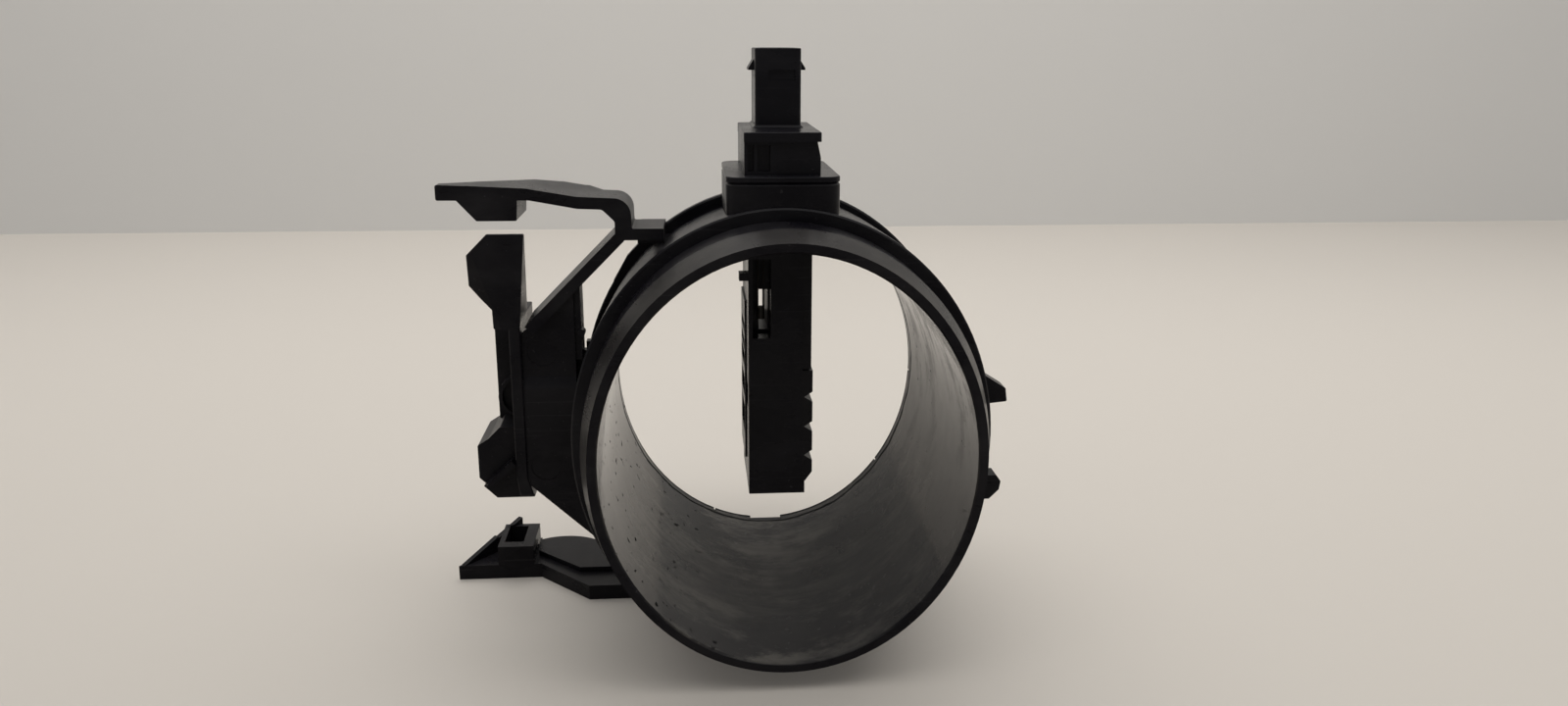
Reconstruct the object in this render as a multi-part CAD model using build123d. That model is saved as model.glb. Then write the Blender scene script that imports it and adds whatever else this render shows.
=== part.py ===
from build123d import *
import math
import os

# Mass air flow sensor in its oval measuring duct. Millimetres, +Z up.
# Origin: centre of the front end face. The duct runs along +Y, the sensor
# stands on top (+Z), and the latch bracket is on the -X side.

# ---- duct ----
bore_half_width = 37.5
bore_half_height = 42.4
duct_length = 77.5
rim_wall = 2.0              # wall of the end faces
tube_wall = 3.8             # wall past the lead-in taper
lead_in_length = 7.0
rim_edge_break = 0.4
rear_relief_width = 8.0     # shallow relief in the bore's rear edge, at the bottom
rear_relief_length = 3.0
rear_relief_depth = 0.4
rear_slit_width = 0.5
rear_slit_length = 2.2
rear_slit_depth = 0.5
rear_slit_angles = (-111, -39, -3)

# ---- collar and rear flange round the duct ----
ring_height = 6.4           # both rings stand this far out of the bore
collar_front = 15.7
collar_ridge = 1.6
ridge_edge = 0.35
collar_foot_height = 4.9    # the collar has sloped down to this at the flange
relief_foot_height = 3.9    # and to this beside the boss, on the bracket's side
relief_left = -24.5
relief_bottom = 38.4
flange_front = 51.0
flange_thickness = 2.5
flange_edge = 0.35

# ---- boss that takes the sensor ----
boss_half_width = 11.5
boss_front = 17.0
boss_length = 34.0
boss_corner = 3.2
boss_top = 53.4
boss_top_break = 0.35
boss_foot = 36.0            # hidden inside the wall, cut off by the bore

# ---- sensor neck and seal ----
neck_half_width = 8.2
neck_length = 29.0
neck_corner = 2.6
neck_depth = 6.4
neck_clearance = 0.15
seal_groove_depth = 1.5
seal_groove_width = 2.0
seal_groove_down = 2.2      # below the boss top
seal_squeeze_gap = 0.02

# ---- sensor head above the boss ----
head_plate_thickness = 1.35
head_plate_corner = 3.2
head_front = 21.0
head_length = 29.6
head_half_width = 7.7
head_height = 6.6
head_side_step_height = 3.4
head_side_step = 0.8
head_rib_width = 0.7
head_rib_offsets = (-7.35, -5.4, -2.1)
head_pocket_depth = 1.2
head_pocket_margin = 0.7
cap_half_width = 7.8
cap_front = 20.0
cap_thickness = 1.9

# ---- plug shroud ----
shroud_half_width = 4.8
shroud_front = 33.4
shroud_length = 15.0
shroud_height = 16.1
shroud_corner = 0.9
shroud_wall = 1.2
shroud_floor = 3.0
shroud_foot = 0.5
latch_reach = 1.2
latch_length = 7.0
latch_top_down = 1.7
latch_height = 2.8
latch_land = 0.4
shroud_patch_width = 5.6
shroud_patch_height = 2.1
shroud_patch_down = 5.4
shroud_patch_depth = 0.45

# ---- terminals ----
terminal_count = 4
terminal_pitch = 2.6
terminal_width = 0.64
terminal_thickness = 0.64
terminal_top_down = 4.5
terminal_tip_chamfer = 0.2
terminal_board_overlap = 3.0

# ---- probe blade ----
blade_half_width = 6.7      # right side, over the lower cover
blade_left = -6.9
blade_front = 23.0
blade_chord = 25.0
blade_tip = -14.2
blade_foot_right = 5.1
blade_edge = 0.25
blade_slot_clearance = 0.3
cover_thickness = 2.2
cover_split = 13.4          # height where the two covers meet
cover_gap = 0.2
cover_inset = 0.35
cover_top_margin = 1.2
bypass_cover_bottom = -11.6
bypass_cover_taper = 2.2
notch_heights = (7.5, 0.9, -5.6)
notch_depth = 1.75
notch_half_height = 1.15
side_wall = 1.5
end_wall = 2.4

# ---- chambers in the blade ----
chamber_bottom = 15.4
chamber_top = 45.0
chamber_back_wall = 1.8
channel_top = 9.5
channel_bottom = -10.0
channel_divider_width = 3.0
channel_divider_bottom = -4.5
inlet_height = 6.0
outlet_slots = ((21.3, 2.0), (17.6, 2.2), (14.6, 3.2), (9.2, 4.6), (2.6, 6.4))
outlet_slot_depth = 0.7
outlet_slot_length = 13.0
side_port_height = 5.0
side_port_length = 6.0

# ---- air temperature window on the left front of the blade ----
window_left = -6.0
window_right = -2.2
window_bottom = 20.5
window_top = 37.2
window_depth = 6.0
window_back_wall = 1.0
air_slot_left = -4.45       # slot from the window right through to the rear edge
air_slot_right = -2.5
air_slot_bottom = 21.1
air_slot_top = 29.8
side_pad_height = 0.4
side_pad_length = 15.5
side_pad_top = 26.6
side_pad_bottom = -9.0
tab_reach = 1.9
tab_height = 1.6
tab_base = 32.8
tab_length = 3.0

# ---- electronics ----
board_thickness = 1.0
board_margin = 0.4
board_bottom = 17.0
board_top = 44.0
pocket_clearance = 0.1
board_seat_height = 1.2
asic_size = (1.3, 7.0, 7.0)
asic_height = 29.0
capacitor_size = (0.9, 1.6, 0.9)
capacitor_heights = (22.0, 24.4, 36.5, 39.0)
capacitor_offset = 5.6
element_carrier_thickness = 0.6
element_carrier_length = 6.0
element_carrier_bottom = 2.6
element_carrier_lap = 3.0   # runs this far up the circuit board
film_chip_size = (0.35, 3.0, 4.0)
film_chip_height = 5.0
thermistor_radius = 0.85
thermistor_length = 2.6
thermistor_height = 25.45
thermistor_x = -4.2
lead_radius = 0.2
lead_spread = 0.62
lead_bend = 1.0

# ---- bracket: a front web with ribs that run back from it ----
bracket_front = 30.0
bracket_depth = 21.0
wall_left = -57.5
wall_right = -55.0
wall_top = 21.0
wall_foot = -12.0
wall_foot_shift = 1.2
web_thickness = 2.5
web_set_back = 1.3
web_right = -43.7
web_top = 29.6
web_low_left = -13.0
web_low_right = -27.0
web_low_right_x = -40.5
web_root = -38.0            # ends inside the duct's wall
web_slot_foot = 6.0
web_root_drop = 4.0
web_step = 0.8              # the lower half stands this much further forward
web_band_top = 10.9
web_band_height = 2.7
link_front = 36.0
link_top = 15.2
link_bottom = -10.0
link_step_left = -41.7
link_step_top = 17.2
ejector_radius = 3.3
ejector_depth = 0.2
ejector_marks = ((-50.6, 16.3), (-50.9, -9.4))

brace_foot = (-54.0, 22.0)
brace_head = (-34.2, 41.9)
brace_thickness = 2.4
brace_depth = 16.0

hook_top = 41.8
hook_top_depth = 0.9        # the hook is a wedge: thin on top, deep at its foot
hook_foot_depth = 12.5
hook_foot = 21.5
hook_left = -65.3
hook_right_top = -53.2
hook_lead = 4.4
hook_lip_bottom = 30.8
hook_lip_run = 2.5
hook_lip_drop = 2.8
hook_neck = -60.6
hook_neck_height = 25.0
ridge_top = (-63.7, 36.4)
ridge_foot = (-58.4, 19.9)
ridge_fall = 0.45           # slope of the facet on the left of the ridge
facet_reach = 12.0

flange_rail_left = -62.6
flange_rail_front = 44.0
flange_rail_thickness = 3.0

dowel_radius = 5.0
dowel_centre = (-57.0, 3.6)
dowel_front = 40.0
dowel_dish_radius = 4.2
dowel_dish_depth = 1.6

heel_left = -66.2
heel_top = -1.5
heel_bottom = -17.1
heel_right = -53.8
heel_set_back = 2.0
heel_recess = 2.0           # the part above the rib lies this much further back
heel_shoulder = -5.6
heel_cut = 4.0
heel_rib_start = (-64.1, -13.5)
heel_rib_end = (-58.4, -8.1)
heel_rib_thickness = 1.2

arm_tip = -70.6
arm_thickness = 2.5
arm_tip_top = 52.1
arm_knee = (-52.5, 51.3)
arm_bend = (-42.0, 49.5)
arm_shoulder = (-31.0, 49.0)
arm_shoulder_radius = 3.6
arm_crown_radius = 3.0
arm_under_radius = 2.0
arm_crown_run = 10.0
arm_throat = (-36.9, 46.8)
arm_neck = (-34.35, 44.3)
arm_root_left = -30.8
arm_root_top = 42.75
arm_root_right = -24.2
arm_root_thickness = 2.4
arm_tip_depth = 2.6         # the arm widens from its tip to the bracket's depth, then steps in
arm_wide_from = -46.5
arm_wide_to = -41.0
arm_step_to = -37.4
arm_root_depth = 13.7
catch_left = -66.5
catch_right = -54.4
catch_bottom = 44.6
catch_ramp = 3.9
gusset_left = -29.7
gusset_waist = 36.9
gusset_knee = (-33.1, 33.3)
gusset_foot = (-36.4, 27.5)

tab_strip_width = 1.4
tab_strip_set_back = 0.7
tab_strip_nub_radius = 0.8
tab_strip_nub_height = 20.2

# ---- tongue with its socket, level with the rings' lowest line ----
tongue_thickness = 3.6
tongue_left = -77.2
tongue_front = 57.8
tongue_bend_left = -57.0
tongue_bend_right = -44.2
tongue_near_front = 44.6
tongue_right = -8.0
tongue_lobe_centre = (-52.0, 60.0)
tongue_lobe_radius = 11.8
tongue_neck_back = 66.0
tier_height = 1.2
tier_front = 52.5
tier_bend = -47.0
tier_left = -58.2
tier_left_front = 63.3
tier_right = -14.0
socket_left = -67.5
socket_right = -58.8
socket_length = 14.2
socket_top = -40.4
socket_hole_left = -66.2
socket_hole_right = -61.5
socket_front_wall = 2.9
socket_back_wall = 1.5
socket_floor = 0.9
fin_start = (-76.6, 58.6)
fin_end = (-64.3, 73.5)
fin_height = 6.3
fin_step_at = 11.0
fin_step_height = 4.0
fin_step = 0.5
fin_thickness = 1.3
tongue_peak = (-64.8, 73.8)
tongue_peak_right = -58.6

# ---- lugs on the +X side ----
lug_front = 19.0
lug_length = 4.5
lug_root = 39.0
upper_lug = ((42.8, 12.7), (47.4, 9.8), (47.8, 6.9), (43.9, 6.5))
lower_lug = ((46.4, -9.8), (47.4, -11.2), (47.1, -13.1), (45.0, -15.2))

bed_height = -(bore_half_height + ring_height)     # the level that the part rests on
blade_back = blade_front + blade_chord
blade_middle = blade_front + blade_chord / 2
boss_middle = boss_front + boss_length / 2
plate_top = boss_top + head_plate_thickness
head_top = plate_top + head_height
cap_top = head_top + cap_thickness
shroud_top = cap_top + shroud_height
shroud_middle = shroud_front + shroud_length / 2
bracket_back = bracket_front + bracket_depth
cover_inner = blade_half_width - cover_thickness
chamber_front = blade_front + window_depth + window_back_wall
chamber_back = blade_back - chamber_back_wall
board_front = chamber_front + board_margin
board_back = chamber_back - board_margin
board_middle = (board_front + board_back) / 2
cover_top = boss_top - neck_depth - cover_top_margin


def facing(y):
    """Plane at y whose drawing is seen from the inlet side: x to +X, y to +Z."""
    return Plane(origin=(0, y, 0), x_dir=(1, 0, 0), z_dir=(0, -1, 0))


def slab(outline, y_front, depth):
    """Extrude a drawing made in X and Z backwards from y_front."""
    return extrude(facing(y_front) * outline, amount=-depth)


def edged_slab(outline, y_front, depth, edge=0.25):
    """The same, with a small chamfer round the front face."""
    solid = slab(outline, y_front, depth)
    return chamfer(solid.faces().sort_by(Axis.Y)[0].edges(), edge)


def block(x_span, y_span, z_span):
    size = [high - low for low, high in (x_span, y_span, z_span)]
    centre = [(high + low) / 2 for low, high in (x_span, y_span, z_span)]
    return Pos(*centre) * Box(*size)


def shape(points, radius=0.4):
    """Closed outline with every corner rounded by the same radius."""
    return make_face(FilletPolyline(*points, radius=radius, close=True))


def oval(height):
    """The duct's section, this far out of the bore."""
    return Ellipse(bore_half_width + height, bore_half_height + height)


def oval_tube(height, y_front, y_back):
    return slab(oval(height), y_front, y_back - y_front)


def oval_cone(y_front, height_front, y_back, height_back):
    sections = [facing(y_front) * oval(height_front), facing(y_back) * oval(height_back)]
    return loft(sections, ruled=True)


def strip(start, end, thickness):
    """Rectangle drawn along the line from start to end, on its right-hand side."""
    run = Vector(end[0] - start[0], end[1] - start[1])
    side = Vector(run.Y, -run.X).normalized() * thickness
    corners = [start, end, (end[0] + side.X, end[1] + side.Y), (start[0] + side.X, start[1] + side.Y)]
    return make_face(Polyline(*corners, close=True))


def rounded_prism(half_width, y_front, length, corner, z_low, z_high):
    centre = y_front + length / 2
    base = Plane.XY.offset(z_low) * Pos(0, centre) * RectangleRounded(2 * half_width, length, corner)
    return extrude(base, amount=z_high - z_low)


# ---------------------------------------------------------------- duct
def duct_shell():
    """Oval tube with a lead-in taper at both ends, a collar and a rear flange."""
    flange_back = flange_front + flange_thickness
    taper_back = duct_length - lead_in_length
    shell = oval_cone(0, rim_wall, lead_in_length, tube_wall)
    shell += oval_tube(tube_wall, lead_in_length, taper_back)
    shell += oval_cone(taper_back, tube_wall, duct_length, rim_wall)
    shell += oval_cone(collar_front, ring_height - ridge_edge, collar_front + ridge_edge, ring_height)
    shell += oval_tube(ring_height, collar_front + ridge_edge, collar_front + collar_ridge)
    slope_front = collar_front + collar_ridge
    low_slope = oval_cone(slope_front, ring_height, flange_front, relief_foot_height)
    relief = block((relief_left, 0), (slope_front - 1, flange_front + 1), (relief_bottom, boss_top))
    shell += oval_cone(slope_front, ring_height, flange_front, collar_foot_height) - relief
    shell += low_slope
    flange = oval_tube(ring_height, flange_front, flange_back)
    return shell + chamfer(flange.edges(), flange_edge)


def duct_bore():
    """The air passage, with a shallow relief and thin mould slits at its rear edge."""
    bore = oval_tube(0, -1, duct_length + 1)
    bore += oval_cone(-0.01, rim_edge_break, rim_edge_break, 0)
    bore += block((-rear_relief_width / 2, rear_relief_width / 2),
                  (duct_length - rear_relief_length, duct_length + 1),
                  (-bore_half_height - rear_relief_depth, 0))
    slit = Box(2 * rear_slit_depth, rear_slit_length, rear_slit_width)
    for angle in rear_slit_angles:
        x = bore_half_width * math.cos(math.radians(angle))
        z = bore_half_height * math.sin(math.radians(angle))
        bore += Pos(x, duct_length - rear_slit_length / 2, z) * Rot(0, -angle, 0) * slit
    return bore


def sensor_boss():
    boss = rounded_prism(boss_half_width, boss_front, boss_length, boss_corner, boss_foot, boss_top)
    top_edges = boss.faces().sort_by(Axis.Z)[-1].edges()
    return chamfer(top_edges, boss_top_break)


def sensor_opening():
    """Stepped hole in the boss: the neck's seat, then a slot for the blade."""
    gap = blade_slot_clearance
    neck_front = boss_middle - neck_length / 2 - neck_clearance
    seat = rounded_prism(neck_half_width + neck_clearance, neck_front, neck_length + 2 * neck_clearance,
                         neck_corner + neck_clearance, boss_top - neck_depth, boss_top + 1)
    slot = block((blade_left - side_pad_height - gap, blade_half_width + gap),
                 (blade_front - gap, blade_back + gap), (0, boss_top))
    return seat + slot


def clip_arm():
    """Springy upper arm with its catch, its shoulder and the root ledge."""
    t = arm_thickness
    root_bottom = arm_root_top - arm_root_thickness
    outline = [
        (arm_tip, arm_tip_top), (arm_knee[0] - arm_crown_run, arm_knee[1] + 0.5),
        arm_knee, arm_bend, arm_shoulder,
        (arm_root_left, arm_root_top), (arm_root_right, arm_root_top), (arm_root_right, root_bottom),
        (arm_neck[0], root_bottom), arm_neck, arm_throat, (arm_bend[0], arm_bend[1] - t),
        (arm_knee[0] + 0.8, arm_knee[1] - t), (arm_tip, arm_tip_top - t - 0.7),
    ]
    crown, under = arm_crown_radius, arm_under_radius
    radii = [0.4, crown, crown, crown, arm_shoulder_radius, 0.4, 0.3, 0.3, 0.4, 1.0, 1.0, under, under, 0.4]
    arm = make_face(FilletPolyline(*outline, radius=radii, close=True))
    catch = shape([
        (catch_left, arm_tip_top - 1), (catch_right + 0.4, arm_tip_top - 1), (catch_right, catch_bottom),
        (catch_left + catch_ramp, catch_bottom), (catch_left, arm_tip_top - t - 0.7),
    ], 0.25)
    solid = slab(arm, bracket_front, bracket_depth) + slab(catch, bracket_front, bracket_depth)
    solid &= arm_plan()
    gusset = make_face(Polyline(
        (gusset_left, root_bottom + 1), (arm_root_right, root_bottom + 1), (arm_root_right, gusset_foot[1]),
        gusset_foot, gusset_knee, (gusset_left, gusset_waist), close=True))
    gusset_slab = slab(gusset, flange_front, flange_thickness)
    root_link = block((arm_root_left + 1, arm_root_right), (bracket_front + 2, flange_front + 1),
                      (root_bottom - 1, root_bottom + 1))
    return solid + gusset_slab + root_link


def arm_plan():
    """The arm and its catch as seen from above, from the narrow tip to the root."""
    back = bracket_front + bracket_depth
    root_back = bracket_front + arm_root_depth
    outline = make_face(Polyline(
        (arm_tip - 1, bracket_front - 1), (arm_root_right + 1, bracket_front - 1),
        (arm_root_right + 1, root_back), (arm_step_to, root_back), (arm_wide_to, back),
        (arm_wide_from, back), (arm_tip, bracket_front + arm_tip_depth),
        (arm_tip - 1, bracket_front + arm_tip_depth - 1), close=True))
    return extrude(Plane.XY * outline, amount=arm_tip_top + 1)


def brace():
    return slab(strip(brace_foot, brace_head, brace_thickness), bracket_front, brace_depth)


def upper_hook():
    """Wedge-shaped hook over the guide wall, with a ridge down its front."""
    outline = shape([
        (hook_left, hook_top - hook_lead), (hook_left, hook_lip_bottom),
        (hook_left + hook_lip_run, hook_lip_bottom - hook_lip_drop), (hook_neck, hook_neck_height + 0.8),
        (hook_neck, hook_foot), (wall_right, hook_foot), (hook_right_top, hook_top),
        (hook_left + hook_lead, hook_top),
    ], 0.3)
    side = make_face(Polyline(
        (bracket_front, hook_foot), (bracket_front, hook_top), (bracket_front + hook_top_depth, hook_top),
        (bracket_front + hook_foot_depth, hook_foot), close=True))
    wedge = extrude(Plane.YZ.offset(hook_left - 1) * side, amount=hook_right_top - hook_left + 2)
    return (slab(outline, bracket_front, bracket_depth) & wedge) - ridge_facet()


def ridge_facet():
    """Wedge that slopes the hook's front back from the ridge towards its lip."""
    run = Vector(ridge_foot[0] - ridge_top[0], 0, ridge_foot[1] - ridge_top[1])
    left = Vector(run.Z, 0, -run.X).normalized()
    start = Vector(ridge_top[0], bracket_front, ridge_top[1]) - run
    section = make_face(Polyline(
        (0, 0), (0, -1), (facet_reach, -1), (facet_reach, facet_reach * ridge_fall), close=True))
    plane = Plane(origin=start, x_dir=left, z_dir=run.normalized())
    return extrude(plane * section, amount=3 * run.length)


def guide_wall():
    """Upright wall, its kicked foot, the rear rail and the half-round dowel boss."""
    foot = heel_bottom + 0.9
    wall = shape([
        (wall_left, wall_top + 2), (wall_right, wall_top + 2), (wall_right, wall_foot),
        (wall_right + wall_foot_shift, foot), (wall_left + wall_foot_shift / 2, foot),
        (wall_left, wall_foot),
    ], 0.3)
    solid = edged_slab(wall, bracket_front, bracket_depth)
    solid += block((flange_rail_left, wall_left + 0.5),
                   (flange_rail_front, flange_rail_front + flange_rail_thickness),
                   (heel_top - 1, hook_neck_height))
    dowel = Pos(*dowel_centre) * Circle(dowel_radius)
    solid += slab(dowel, dowel_front, flange_rail_front - dowel_front)
    dish = Pos(*dowel_centre) * Circle(dowel_dish_radius)
    cut = slab(dish, dowel_front, dowel_dish_depth)
    keep_wall = slab(wall, bracket_front, bracket_depth)
    return solid - (cut - keep_wall)


def heel():
    outline = shape([
        (flange_rail_left + 1.4, heel_top), (heel_left + 2.4, heel_shoulder + 1.5),
        (heel_left, heel_shoulder),
        (heel_left, heel_bottom + heel_cut), (heel_left + heel_cut, heel_bottom), (heel_right, heel_bottom),
        (wall_right, wall_foot), (wall_left + 0.5, heel_top),
    ], 0.4)
    face = bracket_front + heel_set_back
    solid = slab(outline, face, bracket_depth - heel_set_back)
    lean = (heel_rib_end[1] - heel_rib_start[1]) / (heel_rib_end[0] - heel_rib_start[0])
    low = heel_rib_start[1] + lean * (heel_left - 2 - heel_rib_start[0])
    high = heel_rib_start[1] + lean * (wall_left - heel_rib_start[0])
    above = make_face(Polyline(
        (heel_left - 2, low), (wall_left, high), (wall_left, heel_top + 1), (heel_left - 2, heel_top + 1),
        close=True))
    solid -= slab(above, face - 1, heel_recess + 1)
    rib = strip(heel_rib_start, heel_rib_end, heel_rib_thickness)
    return solid + slab(rib, bracket_front, heel_set_back + heel_recess + 1)


def web():
    """Front web between the wall, the brace and the duct, with its mould marks."""
    lean = (brace_head[1] - brace_foot[1]) / (brace_head[0] - brace_foot[0])
    overlap = 1.0
    top_left = brace_foot[1] + lean * (wall_right - brace_foot[0]) - overlap
    panel = make_face(Polyline(
        (wall_left + 1, top_left - 1), (wall_right, top_left), (web_right, web_top + overlap),
        (web_right, web_slot_foot), (web_root, web_slot_foot - web_root_drop),
        (web_root, web_low_right - 1.5),
        (web_low_right_x, web_low_right), (wall_right - 0.5, web_low_left), close=True))
    front = bracket_front + web_set_back
    back = front + web_thickness
    side = make_face(Polyline(
        (front, hook_top), (front, web_band_top), (front - web_step, web_band_top - web_band_height),
        (front - web_step, bed_height), (back, bed_height), (back, hook_top), close=True))
    solid = slab(panel, bracket_front, back - bracket_front)
    solid &= extrude(Plane.YZ.offset(wall_left) * side, amount=web_root - wall_left)
    for x, z in ejector_marks:
        face = front if z > web_band_top else front - web_step
        solid -= slab(Pos(x, z) * Circle(ejector_radius), face - 1, ejector_depth + 1)
    return solid + web_link(front)


def web_link(front):
    """Plate behind the web's free edge that closes the slot beside the duct, with its step."""
    link = make_face(Polyline(
        (web_right - 1.5, link_top), (link_step_left, link_top), (link_step_left, link_step_top),
        (web_root, link_step_top), (web_root, link_bottom), (web_right - 1.5, link_bottom), close=True))
    edge = block((web_right - 1.5, web_right), (front, link_front + web_thickness), (link_bottom, web_top))
    return slab(link, link_front, web_thickness) + edge


def tab_strip():
    """Narrow upright on the web's free edge, with a small round nub."""
    front = bracket_front + web_set_back + tab_strip_set_back
    right = web_right + tab_strip_width
    strip_body = block((web_right, right), (front, link_front + web_thickness), (link_top - 1, web_top + 0.9))
    nub = Pos(right, tab_strip_nub_height) * Circle(tab_strip_nub_radius)
    return strip_body + slab(nub, front - tab_strip_set_back, web_thickness)


def tongue():
    """Two-tier foot that carries the rectangular socket and its diagonal fin."""
    base_top = bed_height + tongue_thickness
    neck = make_face(Polyline(
        (tongue_right, tongue_near_front), (tongue_bend_right, tongue_near_front),
        (tongue_bend_left, tongue_front), (tongue_left, tongue_front), tongue_peak,
        (tongue_peak_right, tongue_peak[1]), (tongue_peak_right, tongue_neck_back),
        (tongue_right, tongue_neck_back), close=True))
    behind = make_face(Polyline(
        (socket_right - 1, tongue_front), (tongue_bend_left, tongue_front),
        (tongue_bend_right, tongue_near_front), (tongue_right, tongue_near_front),
        (tongue_right, duct_length), (socket_right - 1, duct_length), close=True))
    lobe = Pos(*tongue_lobe_centre) * Circle(tongue_lobe_radius) & behind
    solid = extrude(Plane.XY.offset(bed_height) * (neck + lobe), amount=tongue_thickness)

    tier = make_face(Polyline(
        (tier_right, tier_front), (tier_bend, tier_front), (tier_left, tier_left_front),
        (tier_left, tongue_neck_back), (tier_right, tongue_neck_back), close=True))
    tier += lobe & Pos(tier_left, tier_left_front) * Rectangle(
        2 * tongue_lobe_radius, 2 * tongue_lobe_radius, align=(Align.MIN, Align.MIN))
    solid += extrude(Plane.XY.offset(base_top) * tier, amount=tier_height)

    socket_back = tongue_front + socket_length
    solid += block((socket_left, socket_right), (tongue_front, socket_back), (base_top - 1, socket_top))
    solid += tongue_fin(base_top)
    return solid - block((socket_hole_left, socket_hole_right),
                         (tongue_front + socket_front_wall, socket_back - socket_back_wall),
                         (bed_height + socket_floor, socket_top + fin_height))


def tongue_fin(base_top):
    """Upright fin along the tongue's slanted rear edge, in two steps."""
    run = Vector(fin_end[0] - fin_start[0], fin_end[1] - fin_start[1])
    plane = Plane(origin=(fin_start[0], fin_start[1], base_top - 0.5),
                  x_dir=(run.X, run.Y, 0), z_dir=(run.Y, -run.X, 0))
    side = make_face(Polyline(
        (0, 0), (run.length, 0), (run.length, fin_height + 0.5), (fin_step_at, fin_step_height),
        (fin_step_at, fin_step_height + fin_step), (0, 0.6), close=True))
    return extrude(plane * side, amount=fin_thickness)


def side_lugs():
    upper = shape([(lug_root, upper_lug[0][1])] + list(upper_lug) + [(lug_root, upper_lug[-1][1])], 0.3)
    lower = shape([(lug_root, lower_lug[0][1])] + list(lower_lug) + [(lug_root, lower_lug[-1][1])], 0.3)
    return slab(upper, lug_front, lug_length) + slab(lower, lug_front, lug_length)


def duct_housing():
    """One moulding: duct, collar, flange, boss, lugs, bracket and tongue."""
    body = duct_shell() + sensor_boss()
    body += side_lugs()
    bracket = clip_arm() + brace() + upper_hook() + guide_wall() + heel() + web() + tab_strip()
    body += bracket
    body += tongue()
    body -= duct_bore()
    body -= sensor_opening()
    return body


# ---------------------------------------------------------------- sensor
def blade_solid():
    """Outer form of the blade under the neck, without its covers."""
    top = boss_top - neck_depth + 0.5
    blade = block((blade_left, cover_inner), (blade_front, blade_back), (blade_tip, top))
    edges = blade.edges().filter_by(Axis.Z).sort_by(Axis.X)[:2]
    blade = fillet(edges, blade_edge)
    blade += block((0, blade_foot_right), (blade_front, blade_back),
                   (blade_tip, bypass_cover_bottom - cover_gap))
    blade += block((0, blade_half_width), (blade_front, blade_back), (cover_top + cover_gap, top))
    blade += block((blade_left - tab_reach, blade_left + 0.5), (blade_front, blade_front + tab_length),
                   (tab_base, tab_base + tab_height))
    pad = block((blade_left - side_pad_height, blade_left + 0.5),
                (blade_back - blade_edge - side_pad_length, blade_back - blade_edge),
                (side_pad_bottom, side_pad_top))
    return blade + pad


def bypass_channel():
    """U-shaped measuring channel: in at the back edge, round the divider, out at the side."""
    low_x = blade_left + side_wall
    y_low = blade_front + end_wall
    y_high = blade_back - end_wall
    channel = block((low_x, cover_inner + 1), (y_low, y_high), (channel_bottom, channel_top))
    divider = block((low_x - 1, cover_inner + 2),
                    (blade_middle - channel_divider_width / 2, blade_middle + channel_divider_width / 2),
                    (channel_divider_bottom, channel_top + 1))
    rounded = fillet(divider.edges().filter_by(Axis.X).sort_by(Axis.Z)[:2], channel_divider_width / 2 - 0.05)
    channel -= rounded
    inlet = block((low_x, cover_inner + 1), (y_high - 1, blade_back + 1),
                  (channel_top - inlet_height, channel_top))
    port = block((blade_left - 1, low_x + 1), (y_low + 0.6, y_low + 0.6 + side_port_length),
                 (channel_top - side_port_height, channel_top))
    return channel + inlet + port


def circuit_chamber():
    low_x = -board_thickness / 2 - board_seat_height
    return block((low_x, cover_inner + 1), (chamber_front, chamber_back), (chamber_bottom, chamber_top))


def temperature_window():
    """Front pocket for the thermistor, with a slot that goes on through the blade."""
    pocket = block((window_left, window_right), (blade_front - 1, blade_front + window_depth),
                   (window_bottom, window_top))
    slot = block((air_slot_left, air_slot_right), (blade_front, blade_back + 1),
                 (air_slot_bottom, air_slot_top))
    return pocket + slot


def side_slots():
    slots = []
    for top, height in outlet_slots:
        slots.append(block((blade_left - 1, blade_left + outlet_slot_depth),
                           (blade_back - 2 - outlet_slot_length, blade_back - 2), (top - height, top)))
    return slots


def neck():
    front = boss_middle - neck_length / 2
    body = rounded_prism(neck_half_width, front, neck_length, neck_corner, boss_top - neck_depth, boss_top)
    return body - seal_ring_form(seal_groove_depth, 1.0)


def seal_ring_form(inner, outer):
    """Ring round the neck, from this far inside its side to this far outside."""
    low = boss_top - seal_groove_down - seal_groove_width
    high = boss_top - seal_groove_down
    front = boss_middle - neck_length / 2
    outside = rounded_prism(neck_half_width + outer, front - outer, neck_length + 2 * outer,
                            neck_corner + outer, low, high)
    inside = rounded_prism(neck_half_width - inner, front + inner, neck_length - 2 * inner,
                           neck_corner - inner, low - 1, high + 1)
    return outside - inside


def sensor_head():
    """Flange plate, ribbed body and cap plate."""
    plate = rounded_prism(boss_half_width, boss_front, boss_length, head_plate_corner, boss_top, plate_top)
    plate = chamfer(plate.faces().sort_by(Axis.Z)[0].edges(), boss_top_break)
    plate = fillet(plate.faces().sort_by(Axis.Z)[-1].edges(), 0.3)
    step_z = plate_top + head_side_step_height
    profile = make_face(Polyline(
        (-head_half_width, plate_top - 0.5), (head_half_width, plate_top - 0.5), (head_half_width, step_z),
        (head_half_width - head_side_step, head_top + 0.5), (-head_half_width, head_top + 0.5), close=True))
    body = slab(profile, head_front, head_length)
    pocket_low = plate_top + head_pocket_margin
    pocket_high = head_top - head_pocket_margin
    for left, right in zip(head_rib_offsets[:-1], head_rib_offsets[1:]):
        body -= block((left + head_rib_width / 2, right - head_rib_width / 2),
                      (head_front - 1, head_front + head_pocket_depth), (pocket_low, pocket_high))
    cap_length = head_front + head_length - cap_front
    cap = rounded_prism(cap_half_width, cap_front, cap_length, 0.8, head_top, cap_top)
    cap = fillet(cap.faces().sort_by(Axis.Z)[-1].edges(), 0.25)
    return plate + body + cap


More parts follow.
